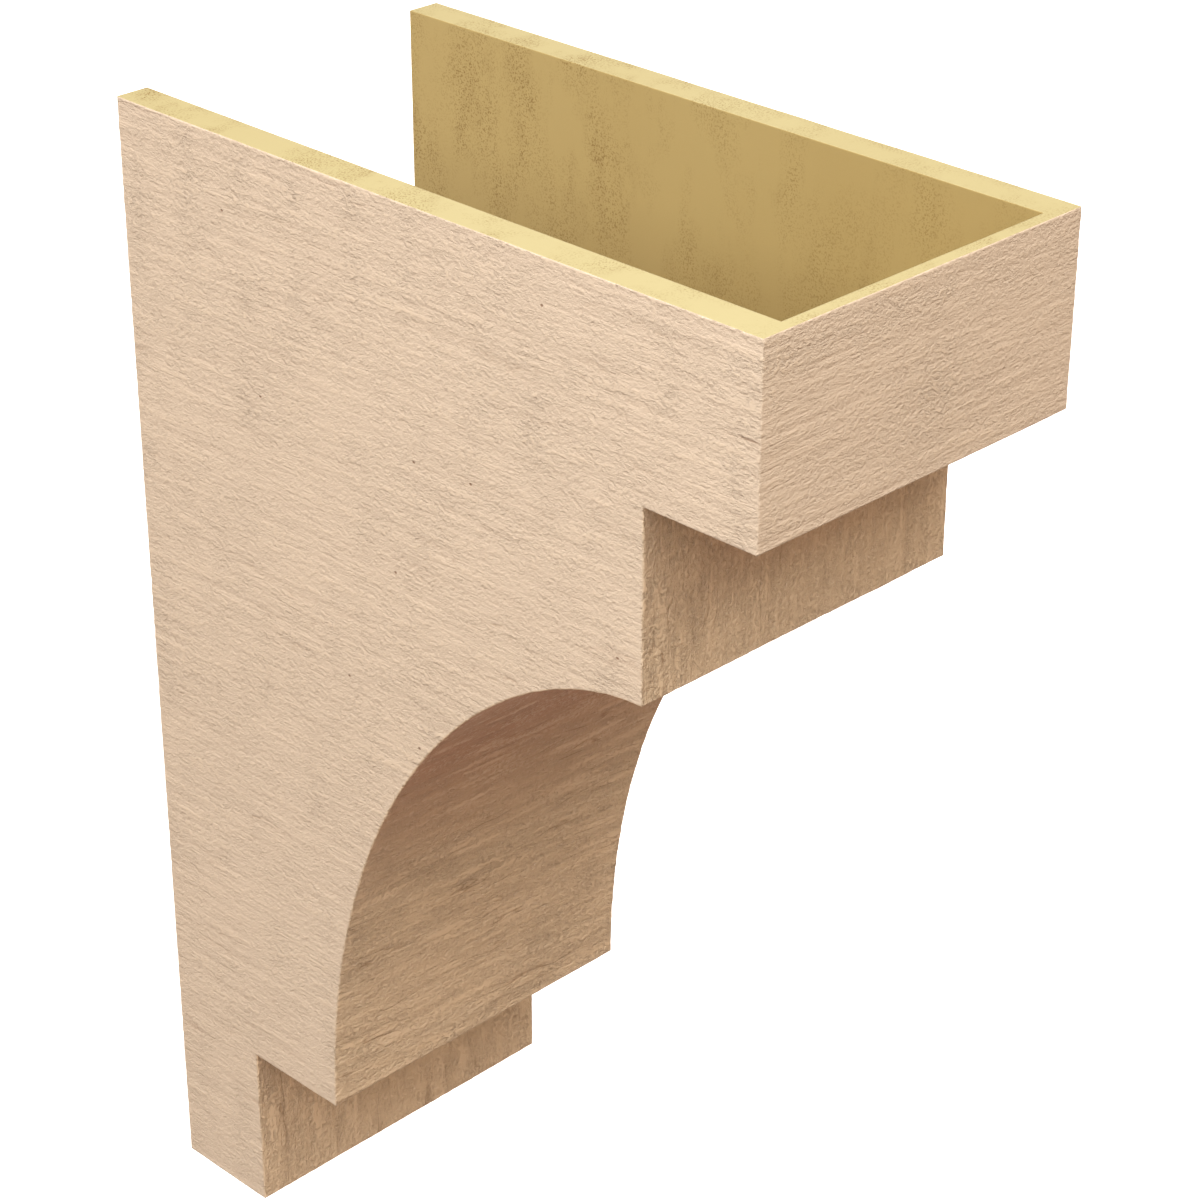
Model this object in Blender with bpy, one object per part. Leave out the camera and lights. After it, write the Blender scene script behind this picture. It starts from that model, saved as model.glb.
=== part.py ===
"""A stepped corbel, moulded in rigid foam as one hollow shell, open at the back and at the top.

Metres, +Z up. The wall is the plane Y = 0 and the corbel stands out from it towards -Y.
X = 0 is the middle of its width. The origin is on the wall plane, at half the thickness of the floor.
"""

import bmesh
import bpy
from mathutils import Matrix, Vector

INCH = 0.0254

# Overall size. Everything on the side outline is a multiple of the step.
WIDTH = 8.0 * INCH
DEPTH = 16.0 * INCH
HEIGHT = 24.0 * INCH
STEP_RISE = 3.75 * INCH
STEP_RUN = 2.5 * INCH

# Walls of the shell: the two sides are thick, the skin along the front, the steps and the floor is thin.
SIDE_WALL = 0.0183
FRONT_SKIN = 0.0070

# Side outline, as distances out from the wall and heights above the underside.
FOOT_REACH = STEP_RUN
LEDGE_REACH = FOOT_REACH + STEP_RUN
RISER_REACH = DEPTH - STEP_RUN
BLOCK_BASE = HEIGHT - STEP_RISE
COVE_TOP = BLOCK_BASE - STEP_RISE
COVE_BASE = STEP_RISE

# The cove is one cubic curve: it leaves the riser level and reaches the ledge upright.
COVE_PULL_OUT = 3.6 * INCH
COVE_PULL_UP = 7.9 * INCH
COVE_SEGMENTS = 48

# How far the hollow's cutter runs past the open back and the open top.
CUTTER_OVERRUN = 0.02

WELD_DISTANCE = 0.00005
FACING_COLOUR = (0.66, 0.49, 0.36, 1.0)
FACING_ROUGHNESS = 0.85

# Outline plane to world: reach goes to -Y, height to +Z and the extrusion to -X.
OUTLINE_AXES = Matrix(((0.0, 0.0, -1.0), (-1.0, 0.0, 0.0), (0.0, 1.0, 0.0)))


def clear_scene():
    """Remove every object that the file was opened with."""
    for item in list(bpy.data.objects):
        bpy.data.objects.remove(item, do_unlink=True)


def new_collection(name):
    """Add a collection to the scene."""
    collection = bpy.data.collections.new(name)
    bpy.context.scene.collection.children.link(collection)
    return collection


def foam_material():
    """The facing: a matt tan primer coat on the moulded foam."""
    material = bpy.data.materials.new("primed_foam")
    material.use_nodes = True
    shader = material.node_tree.nodes["Principled BSDF"]
    shader.inputs["Base Color"].default_value = FACING_COLOUR
    shader.inputs["Roughness"].default_value = FACING_ROUGHNESS
    shader.inputs["Metallic"].default_value = 0.0
    return material


def cove_point(t, inset):
    """A point of the cove at t, from the ledge (0) to the riser (1), moved into the foam by inset."""
    ledge = Vector((LEDGE_REACH, COVE_BASE))
    ledge_pull = ledge + Vector((0.0, COVE_PULL_UP))
    riser = Vector((RISER_REACH, COVE_TOP))
    riser_pull = riser - Vector((COVE_PULL_OUT, 0.0))
    s = 1.0 - t
    point = s ** 3 * ledge + 3 * s * s * t * ledge_pull + 3 * s * t * t * riser_pull + t ** 3 * riser
    slope = s * s * (ledge_pull - ledge) + 2 * s * t * (riser_pull - ledge_pull) + t * t * (riser - riser_pull)
    slope.normalize()
    return point + inset * Vector((-slope.y, slope.x))


def cove_points(inset):
    """The points between the cove's two ends, kept inside the ledge's and the riser's own faces."""
    points = [cove_point(i / COVE_SEGMENTS, inset) for i in range(1, COVE_SEGMENTS)]
    lowest = COVE_BASE + inset
    furthest = RISER_REACH - inset
    return [p for p in points if p.y > lowest and p.x < furthest]


def stepped_front(inset):
    """The front of the side outline, from the floor up to the block, moved into the foam by inset."""
    return [
        Vector((FOOT_REACH - inset, inset)),
        Vector((FOOT_REACH - inset, COVE_BASE + inset)),
        Vector((LEDGE_REACH - inset, COVE_BASE + inset)),
        *cove_points(inset),
        Vector((RISER_REACH - inset, COVE_TOP + inset)),
        Vector((RISER_REACH - inset, BLOCK_BASE + inset)),
        Vector((DEPTH - inset, BLOCK_BASE + inset)),
    ]


def side_outline():
    """The whole side outline of the corbel."""
    return [
        Vector((0.0, 0.0)),
        *stepped_front(0.0),
        Vector((DEPTH, HEIGHT)),
        Vector((0.0, HEIGHT)),
    ]


def hollow_outline():
    """The outline of the hollow, which runs out through the back and through the top."""
    past_back = -CUTTER_OVERRUN
    past_top = HEIGHT + CUTTER_OVERRUN
    return [
        Vector((past_back, FRONT_SKIN)),
        *stepped_front(FRONT_SKIN),
        Vector((DEPTH - FRONT_SKIN, past_top)),
        Vector((past_back, past_top)),
    ]


def outline_curve(name, outline, width, collection):
    """A filled flat outline, extruded by half its width to each side and stood upright on the wall plane."""
    data = bpy.data.curves.new(name, "CURVE")
    data.dimensions = "2D"
    data.fill_mode = "BOTH"
    data.extrude = width / 2
    spline = data.splines.new("POLY")
    spline.points.add(len(outline) - 1)
    for target, point in zip(spline.points, outline):
        target.co = (point.x, point.y, 0.0, 1.0)
    spline.use_cyclic_u = True
    curve = bpy.data.objects.new(name, data)
    curve.rotation_euler = OUTLINE_AXES.to_euler()
    curve.location = (0.0, 0.0, -FRONT_SKIN / 2)
    collection.objects.link(curve)
    return curve


def curve_to_mesh(curve, name, collection):
    """A closed mesh object in the curve's place, with the loose caps welded on."""
    bpy.context.view_layer.update()
    evaluated = curve.evaluated_get(bpy.context.evaluated_depsgraph_get())
    mesh = bpy.data.meshes.new_from_object(evaluated)
    shape = bmesh.new()
    shape.from_mesh(mesh)
    bmesh.ops.remove_doubles(shape, verts=shape.verts, dist=WELD_DISTANCE)
    shape.to_mesh(mesh)
    shape.free()
    solid = bpy.data.objects.new(name, mesh)
    solid.matrix_world = curve.matrix_world
    collection.objects.link(solid)
    bpy.data.objects.remove(curve, do_unlink=True)
    return solid


def outline_solid(name, outline, width, collection):
    """A closed solid of an outline and a width."""
    curve = outline_curve(name + "_outline", outline, width, collection)
    return curve_to_mesh(curve, name, collection)


def hollow_out(solid, cutter):
    """Cut the hollow from the solid, and hide the cutter."""
    cut = solid.modifiers.new("hollow", "BOOLEAN")
    cut.operation = "DIFFERENCE"
    cut.solver = "EXACT"
    cut.object = cutter
    cutter.hide_render = True
    cutter.display_type = "WIRE"


def build_corbel():
    """Model the corbel's one piece."""
    clear_scene()
    pieces = new_collection("Corbel")
    cutters = new_collection("Cutters")
    shell = outline_solid("corbel_shell", side_outline(), WIDTH, pieces)
    shell.data.materials.append(foam_material())
    hollow = outline_solid("hollow_cutter", hollow_outline(), WIDTH - 2 * SIDE_WALL, cutters)
    hollow_out(shell, hollow)


build_corbel()
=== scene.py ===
"""The looks of a stepped corbel, moulded in foam with a rough-sawn wood face.

One relief mesh takes the place of the plain shell. Its outside is primed and sawn, its rims and its
inside are bare foam. Metres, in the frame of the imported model: the wall is Y = 0, the front is -Y.
"""

from __future__ import annotations

import logging
import math
from dataclasses import dataclass, field
from enum import Enum
from typing import Any, ClassVar, Iterable, Sequence

import bmesh
import bpy
import numpy as np
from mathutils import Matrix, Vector


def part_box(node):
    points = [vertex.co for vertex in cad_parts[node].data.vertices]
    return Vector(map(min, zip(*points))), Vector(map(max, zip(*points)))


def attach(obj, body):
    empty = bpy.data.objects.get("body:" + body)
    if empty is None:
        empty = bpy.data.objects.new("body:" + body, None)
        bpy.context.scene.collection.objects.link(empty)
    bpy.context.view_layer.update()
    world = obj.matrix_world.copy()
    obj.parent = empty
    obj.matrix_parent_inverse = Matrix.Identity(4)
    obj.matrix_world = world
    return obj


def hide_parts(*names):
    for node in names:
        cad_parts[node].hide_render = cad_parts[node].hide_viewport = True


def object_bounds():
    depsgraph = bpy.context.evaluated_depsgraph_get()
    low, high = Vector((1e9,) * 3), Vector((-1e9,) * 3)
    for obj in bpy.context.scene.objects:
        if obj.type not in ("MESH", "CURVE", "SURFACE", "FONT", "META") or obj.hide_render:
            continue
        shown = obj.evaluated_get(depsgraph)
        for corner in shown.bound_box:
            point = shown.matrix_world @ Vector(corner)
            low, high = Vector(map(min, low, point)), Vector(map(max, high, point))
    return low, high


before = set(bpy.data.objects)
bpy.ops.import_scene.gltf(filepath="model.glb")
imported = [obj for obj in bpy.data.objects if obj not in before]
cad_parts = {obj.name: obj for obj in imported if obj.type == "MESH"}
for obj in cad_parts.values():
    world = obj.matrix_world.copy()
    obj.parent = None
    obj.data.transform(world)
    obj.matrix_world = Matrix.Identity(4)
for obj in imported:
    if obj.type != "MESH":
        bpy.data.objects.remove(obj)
cad_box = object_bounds()

log = logging.getLogger("corbel")

NODE = "corbel_shell"
BODY = "root"
INCH = 0.0254
MM = 0.001

PLACE_DIGITS = 7
SAME_PLACE = 1e-7

Triple = tuple[float, float, float]
Colour = tuple[float, float, float, float]


class Stretch(Enum):
    """The stretches of the side outline, from the wall along the underside and up the front."""

    FLOOR = 0
    FOOT = 1
    LEDGE = 2
    COVE = 3
    RISER = 4
    SOFFIT = 5
    BLOCK = 6
    TOP = 7
    BACK = 8


STRETCHES = len(Stretch)
FRONT_STRETCHES = tuple(Stretch)[:7]
LEVEL_STRETCHES = (Stretch.FLOOR, Stretch.LEDGE, Stretch.SOFFIT, Stretch.TOP)


class Face(Enum):
    """What a panel is, which settles its relief and its material."""

    SIDE = 0
    BLOCK = 1
    RISER = 2
    COVE = 3
    FOOT = 4
    UNDER = 5
    RIM = 6
    INSIDE = 7


FACE_OF_STRETCH = {
    Stretch.FLOOR: Face.UNDER,
    Stretch.FOOT: Face.FOOT,
    Stretch.LEDGE: Face.UNDER,
    Stretch.COVE: Face.COVE,
    Stretch.RISER: Face.RISER,
    Stretch.SOFFIT: Face.UNDER,
    Stretch.BLOCK: Face.BLOCK,
}
BARE_FACES = (Face.RIM, Face.INSIDE)
SLOT_OF_FACE = {Face.RIM: 1, Face.INSIDE: 2}

# The numbers of the corners at which the outside and the inside of the shell turn inwards
HOLLOW_OUTSIDE = (2, 5)
HOLLOW_INSIDE = (0, 1, 3, 4, 6)

SIDE_SEED = 2
FRONT_SEED = 10
RIM_SEED = 30


def spread(length: float, pitch: float, inset: float) -> list[float]:
    """Places along a line, close together at its two ends and evenly spaced between.

    Args:
        length: the line's length.
        pitch: the spacing wanted between the ends.
        inset: how far the second and the third place lie from the end, once and twice.

    Returns:
        The places, from 0 to length.
    """
    start, stop = 2 * inset, length - 2 * inset
    count = max(1, round((stop - start) / pitch))
    middle = [start + (stop - start) * i / count for i in range(count + 1)]
    return [0.0, inset, *middle, length - inset, length]


def distances(points: Sequence[Sequence[float]]) -> np.ndarray:
    """How far along a row each of its points lies."""
    row = np.array(points)
    return np.concatenate(([0.0], np.cumsum(np.linalg.norm(np.diff(row, axis=0), axis=1))))


@dataclass(frozen=True)
class Outline:
    """The side outline of the shell, moved into the foam by an inset. Points are (reach, height)."""

    depth: float
    height: float
    inset: float = 0.0
    open_inset: float = 0.0
    cove_pull_out: float = 3.6 * INCH
    cove_pull_up: float = 7.9 * INCH

    STEP_SHARE: ClassVar[tuple[int, int]] = (5, 32)
    CURVE_STEPS: ClassVar[int] = 1200

    @property
    def rise(self) -> float:
        """The height of each step."""
        return self.height * self.STEP_SHARE[0] / self.STEP_SHARE[1]

    @property
    def run(self) -> float:
        """The depth of each step."""
        return self.depth * self.STEP_SHARE[0] / self.STEP_SHARE[1]

    def moved_in(self, inset: float, open_inset: float) -> Outline:
        """The same outline, moved in further along the front, and along the open back and top."""
        return Outline(self.depth, self.height, self.inset + inset, self.open_inset + open_inset)

    def corners(self) -> list[np.ndarray]:
        """The corners as (reach, height).

        Returns:
            One per stretch, at its start.
        """
        i, o = self.inset, self.open_inset
        foot, ledge, riser = self.run, 2 * self.run, self.depth - self.run
        under_block, under_riser = self.height - self.rise, self.height - 2 * self.rise
        return [
            np.array(c)
            for c in (
                (o, i),
                (foot - i, i),
                (foot - i, self.rise + i),
                (ledge - i, self.rise + i),
                (riser - i, under_riser + i),
                (riser - i, under_block + i),
                (self.depth - i, under_block + i),
                (self.depth - i, self.height - o),
                (o, self.height - o),
            )
        ]

    def cove_point(self, t: float) -> np.ndarray:
        """A point of the cove, moved in by the inset.

        Args:
            t: how far along the curve it lies, from the ledge (0) to the riser (1).

        Returns:
            Its reach and height.
        """
        ledge = np.array((2 * self.run, self.rise))
        riser = np.array((self.depth - self.run, self.height - 2 * self.rise))
        pull_up = ledge + (0.0, self.cove_pull_up)
        pull_out = riser - (self.cove_pull_out, 0.0)
        s = 1.0 - t
        spot = s**3 * ledge + 3 * s * s * t * pull_up + 3 * s * t * t * pull_out + t**3 * riser
        slope = s * s * (pull_up - ledge) + 2 * s * t * (pull_out - pull_up) + t * t * (riser - pull_out)
        slope /= np.linalg.norm(slope)
        return spot + self.inset * np.array((-slope[1], slope[0]))

    def cove_line(self, pitch: float, longest: float, inset: float) -> list[np.ndarray]:
        """Points along the cove from corner to corner.

        Args:
            pitch: the rise wanted between two points.
            longest: the greatest distance between two points, where the cove runs nearly level.
            inset: how far the last point but one lies from the last.

        Returns:
            The points, the two corners among them.
        """
        start, stop = self.corners()[3:5]
        fine = [self.cove_point(t) for t in np.linspace(0.0, 1.0, self.CURVE_STEPS + 1)]
        path = np.array([start, *(p for p in fine if p[1] > start[1] and p[0] < stop[0]), stop])
        step = np.abs(np.diff(path, axis=0))
        cost = np.maximum(step[:, 1] / pitch, np.hypot(step[:, 0], step[:, 1]) / longest)
        along = np.concatenate(([0.0], np.cumsum(cost)))
        wanted = list(np.linspace(0.0, along[-1], max(2, round(along[-1])) + 1))
        wanted.insert(-1, along[-1] - inset / longest)
        return [np.array([np.interp(w, along, path[:, k]) for k in (0, 1)]) for w in wanted]

    def line(self, stretch: Stretch, pitch: float, inset: float) -> list[np.ndarray]:
        """Points along one stretch.

        Args:
            stretch: which one.
            pitch: the spacing wanted.
            inset: the spacing at the two ends.

        Returns:
            The points, the two corners among them.
        """
        if stretch is Stretch.COVE:
            return self.cove_line(pitch, 4 * pitch, inset)
        corners = self.corners()
        start, stop = corners[stretch.value], corners[(stretch.value + 1) % STRETCHES]
        length = float(np.linalg.norm(stop - start))
        return [start + (stop - start) * (s / length) for s in spread(length, pitch, inset)]


class ShellMesh:
    """The points and faces of the whole shell, and the panel that each face belongs to."""

    def __init__(self) -> None:
        """Start with nothing."""
        self.points: list[Triple] = []
        self.lines: dict[str, list[int]] = {}
        self.faces: list[tuple[int, ...]] = []
        self.face_panel: list[int] = []
        self.panels: list[Panel] = []
        self.hollow_edges: set[int] = set()

    def add(self, point: Sequence[float]) -> int:
        """Add a point, and return its number."""
        self.points.append((float(point[0]), float(point[1]), float(point[2])))
        return len(self.points) - 1

    def line(self, name: str, points: Iterable[Sequence[float]], start: int, stop: int) -> list[int]:
        """Add a named line of points between two that are there already.

        Args:
            name: the line's name, under which it is found again.
            points: all its points, the two ends among them.
            start: the number of the first.
            stop: the number of the last.

        Returns:
            The numbers along the line.
        """
        self.lines[name] = [start, *(self.add(p) for p in list(points)[1:-1]), stop]
        return self.lines[name]

    def share_along(self, numbers: Sequence[int]) -> list[float]:
        """How far along a row each of its points lies, from 0 to 1."""
        along = distances([self.points[n] for n in numbers])
        return list(along / along[-1])


@dataclass
class Panel:
    """One face of the shell: where its points lie on it, and which way it faces."""

    mesh: ShellMesh
    face: Face
    seed: int
    spots: dict[int, tuple[float, float]] = field(default_factory=dict)
    normals: dict[int, Triple] = field(default_factory=dict)

    def __post_init__(self) -> None:
        """Enter the panel in the mesh."""
        self.number = len(self.mesh.panels)
        self.mesh.panels.append(self)

    def hold(self, number: int, spot: tuple[float, float], normal: Sequence[float]) -> None:
        """Note where a point lies on the panel and which way the panel faces there."""
        self.spots[number] = spot
        self.normals[number] = tuple(normal)

    def fill(self, *numbers: int) -> None:
        """Add a face."""
        self.mesh.faces.append(numbers)
        self.mesh.face_panel.append(self.number)

    def zip_rows(
        self, low: Sequence[int], high: Sequence[int], low_at: Sequence[float], high_at: Sequence[float]
    ) -> None:
        """Fill the strip between two rows: with four corners where the places agree, else with three.

        Args:
            low: the numbers along the first row.
            high: the numbers along the second.
            low_at: how far along each point of the first row lies.
            high_at: the same for the second.
        """
        i = j = 0
        while i < len(low) - 1 or j < len(high) - 1:
            next_low = low_at[i + 1] if i < len(low) - 1 else math.inf
            next_high = high_at[j + 1] if j < len(high) - 1 else math.inf
            if abs(next_low - next_high) < SAME_PLACE:
                self.fill(low[i], low[i + 1], high[j + 1], high[j])
                i, j = i + 1, j + 1
            elif next_low < next_high:
                self.fill(low[i], low[i + 1], high[j])
                i += 1
            else:
                self.fill(low[i], high[j + 1], high[j])
                j += 1

    def zip_edge(self, outer: Sequence[int], inner: Sequence[int]) -> None:
        """Fill the strip between an edge of the shell and the panel's first row beside it."""
        self.zip_rows(outer, inner, self.mesh.share_along(outer), self.mesh.share_along(inner))


@dataclass(frozen=True)
class Pitch:
    """How far apart a panel's points are along the level and upwards."""

    level: float
    up: float


@dataclass
class Skin:
    """The outside or the inside of the shell: two sides and the seven panels between them."""

    mesh: ShellMesh
    name: str
    outline: Outline
    half: float
    lift: float
    outward: float
    edge: float
    level_pitch: float
    side_pitch: Pitch
    front_pitch: dict[Stretch, Pitch]
    bare: bool = False

    def place(self, x: float, spot: Sequence[float]) -> Triple:
        """A point of the outline, set at x, in the frame."""
        return (x, -float(spot[0]), float(spot[1]) + self.lift)

    def spot_of(self, number: int) -> tuple[float, float]:
        """The reach and the height of a point of the mesh."""
        _, y, z = self.mesh.points[number]
        return (-y, z - self.lift)

    def edge_line(self, stretch: Stretch, sign: int) -> list[int]:
        """The numbers along a side edge."""
        return self.mesh.lines[f"{self.name}_{stretch.name}_{sign}"]

    def level_line(self, index: int) -> list[int]:
        """The numbers along the level edge at a corner of the outline."""
        return self.mesh.lines[f"{self.name}_level_{index}"]

    def build(self) -> None:
        """Make the edges and then every panel."""
        self.make_edges()
        for stretch in FRONT_STRETCHES:
            self.front_panel(stretch)
        for sign in (-1, 1):
            self.side_panel(sign)

    def make_edges(self) -> None:
        """Make the two side outlines and the level edges between them."""
        corners = self.outline.corners()
        ends = {s: [self.mesh.add(self.place(s * self.half, c)) for c in corners] for s in (-1, 1)}
        for sign, numbers in ends.items():
            for stretch in Stretch:
                pitch = self.side_pitch.level if stretch in LEVEL_STRETCHES else self.side_pitch.up
                spots = self.outline.line(stretch, pitch, self.edge)
                points = [self.place(sign * self.half, spot) for spot in spots]
                start, stop = numbers[stretch.value], numbers[(stretch.value + 1) % STRETCHES]
                self.mesh.line(f"{self.name}_{stretch.name}_{sign}", points, start, stop)
        for index in range(len(FRONT_STRETCHES) + 1):
            points = [self.place(x, corners[index]) for x in self.level_places(self.level_pitch)]
            self.mesh.line(f"{self.name}_level_{index}", points, ends[-1][index], ends[1][index])
        for index in HOLLOW_OUTSIDE if self.outward > 0 else HOLLOW_INSIDE:
            self.mesh.hollow_edges.update(self.level_line(index)[1:-1])

    def level_places(self, pitch: float) -> list[float]:
        """Places across the width, as X."""
        return [x - self.half for x in spread(2 * self.half, pitch, self.edge)]

    def front_panel(self, stretch: Stretch) -> None:
        """Make the panel along one stretch of the front, across the whole width.

        Args:
            stretch: which one.
        """
        pitch = self.front_pitch[stretch]
        face = Face.INSIDE if self.bare else FACE_OF_STRETCH[stretch]
        panel = Panel(self.mesh, face, seed=FRONT_SEED + stretch.value)
        path = np.array(self.outline.line(stretch, pitch.up, self.edge))
        along = distances(path)
        slope = np.gradient(path, axis=0)
        slope /= np.linalg.norm(slope, axis=1)[:, None]
        facing = [(0.0, -self.outward * s[1], -self.outward * s[0]) for s in slope]
        low, high = self.level_line(stretch.value), self.level_line(stretch.value + 1)
        left, right = self.edge_line(stretch, -1), self.edge_line(stretch, 1)
        for number in {*low, *high, *left, *right}:
            spot = np.array(self.spot_of(number))
            nearest = int(np.hypot(*(path - spot).T).argmin())
            before, after = max(0, nearest - 1), min(len(path) - 1, nearest + 1)
            span = path[after] - path[before]
            share = min(1.0, max(0.0, float((spot - path[before]) @ span / (span @ span))))
            at = along[before] + share * (along[after] - along[before])
            panel.hold(number, (self.mesh.points[number][0], float(at)), facing[nearest])
        xs = self.level_places(pitch.level)[1:-1]
        rows = []
        for k in range(1, len(path) - 1):
            rows.append([self.mesh.add(self.place(x, path[k])) for x in xs])
            for x, number in zip(xs, rows[-1]):
                panel.hold(number, (x, float(along[k])), facing[k])
        for below, above in zip(rows, rows[1:]):
            panel.zip_rows(below, above, xs, xs)
        panel.zip_edge(low, rows[0])
        panel.zip_edge(rows[-1], high)
        panel.zip_edge([row[0] for row in rows], left)
        panel.zip_edge(right, [row[-1] for row in rows])

    def side_panel(self, sign: int) -> None:
        """Make the left (-1) or the right (1) side."""
        SidePanel(self, sign).build()


@dataclass
class Row:
    """A level row of a side: its height, and how far it reaches in the strips below and above it."""

    height: float
    below: float
    above: float


@dataclass
class SidePanel:
    """One side of a skin, in level rows from the wall out to the outline."""

    skin: Skin
    sign: int

    CLEAR_OF_COLUMN: ClassVar[float] = 1.5
    CLEAR_OF_FRONT: ClassVar[float] = 0.3

    def __post_init__(self) -> None:
        """Enter the panel and settle its rows and columns."""
        skin = self.skin
        face = Face.INSIDE if skin.bare else Face.SIDE
        self.panel = Panel(skin.mesh, face, seed=SIDE_SEED + self.sign)
        self.facing = (self.sign * skin.outward, 0.0, 0.0)
        self.inner = skin.outline.moved_in(skin.edge, skin.edge)
        self.rows = self.make_rows()
        self.columns = self.make_columns()
        self.numbers: dict[tuple[int, float], int] = {}

    def make_rows(self) -> list[Row]:
        """Settle the rows.

        Returns:
            The rows from the foot to the top, with two reaches where the outline steps out.
        """
        corners, pitch, edge = self.inner.corners(), self.skin.side_pitch.up, self.skin.edge

        def straight(start: int) -> list[Row]:
            """Rows up the upright stretch that starts at this corner."""
            reach, low, high = corners[start][0], corners[start][1], corners[start + 1][1]
            return [Row(float(low + s), reach, reach) for s in spread(float(high - low), pitch, edge)]

        foot, riser, block = straight(1), straight(4), straight(6)
        cove = [Row(p[1], p[0], p[0]) for p in self.inner.cove_line(pitch, 4 * pitch, edge)]
        foot[-1].above = cove[0].above
        riser[-1].above = block[0].above
        self.ledge, self.knee = len(foot) - 1, len(foot) + len(cove) - 2
        self.soffit = self.knee + len(riser) - 1
        return foot + cove[1:-1] + riser + block[1:]

    def make_columns(self) -> list[float]:
        """Settle the columns.

        Returns:
            The distances from the wall at which the points of a row lie.
        """
        wall, edge = self.inner.open_inset, self.skin.edge
        corners = self.inner.corners()
        far = float(corners[6][0])
        kept = [float(corners[k][0]) - edge * n for k in (1, 4) for n in (0, 1)]
        even = [wall + e for e in spread(far - wall, self.skin.side_pitch.level, edge)]
        clear = [e for e in even if min(abs(e - k) for k in kept) > self.CLEAR_OF_COLUMN * edge]
        return sorted(clear + kept)

    def number(self, index: int, reach: float) -> int:
        """Find a row's point, or make it when it is first asked for.

        Args:
            index: the row's number.
            reach: how far the point lies from the wall plane.

        Returns:
            The point's number.
        """
        key = (index, round(reach, PLACE_DIGITS))
        if key not in self.numbers:
            spot = (float(reach), float(self.rows[index].height))
            self.numbers[key] = self.skin.mesh.add(self.skin.place(self.sign * self.skin.half, spot))
            self.panel.hold(self.numbers[key], spot, self.facing)
        return self.numbers[key]

    def row_to(self, index: int, reach: float) -> tuple[list[int], list[float]]:
        """A row's points from the wall out to a reach, and their places."""
        places = [c for c in self.columns if c < reach - self.CLEAR_OF_FRONT * self.skin.edge] + [reach]
        return [self.number(index, p) for p in places], places

    def step_row(self, index: int) -> list[int]:
        """The points of a row between its two reaches, where the outline steps out.

        Args:
            index: the row's number.

        Returns:
            Their numbers, from the wall outwards.
        """
        row = self.rows[index]
        whole, places = self.row_to(index, row.above)
        return [n for n, p in zip(whole, places) if p > row.below - SAME_PLACE]

    def build(self) -> None:
        """Fill the rows, then the strip between them and the outline."""
        for index in range(len(self.rows) - 1):
            low, low_at = self.row_to(index, self.rows[index].above)
            high, high_at = self.row_to(index + 1, self.rows[index + 1].below)
            self.panel.zip_rows(low, high, low_at, high_at)
        edges = {s: self.skin.edge_line(s, self.sign) for s in Stretch}
        for line in edges.values():
            for number in line:
                self.panel.hold(number, self.skin.spot_of(number), self.facing)
        last = len(self.rows) - 1
        front = [self.number(i, row.below) for i, row in enumerate(self.rows)]
        wall = [self.number(i, self.columns[0]) for i in range(last + 1)]
        step_ends = {i: self.number(i, self.rows[i].above) for i in (self.ledge, self.soffit)}
        beside = {
            Stretch.FLOOR: self.row_to(0, self.rows[0].above)[0],
            Stretch.FOOT: front[: self.ledge + 1],
            Stretch.LEDGE: self.step_row(self.ledge),
            Stretch.COVE: [step_ends[self.ledge], *front[self.ledge + 1 : self.knee + 1]],
            Stretch.RISER: front[self.knee : self.soffit + 1],
            Stretch.SOFFIT: self.step_row(self.soffit),
            Stretch.BLOCK: [step_ends[self.soffit], *front[self.soffit + 1 :]],
            Stretch.TOP: self.row_to(last, self.rows[last].below)[0][::-1],
            Stretch.BACK: wall[::-1],
        }
        for stretch, inner in beside.items():
            self.panel.zip_edge(edges[stretch], inner)


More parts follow.
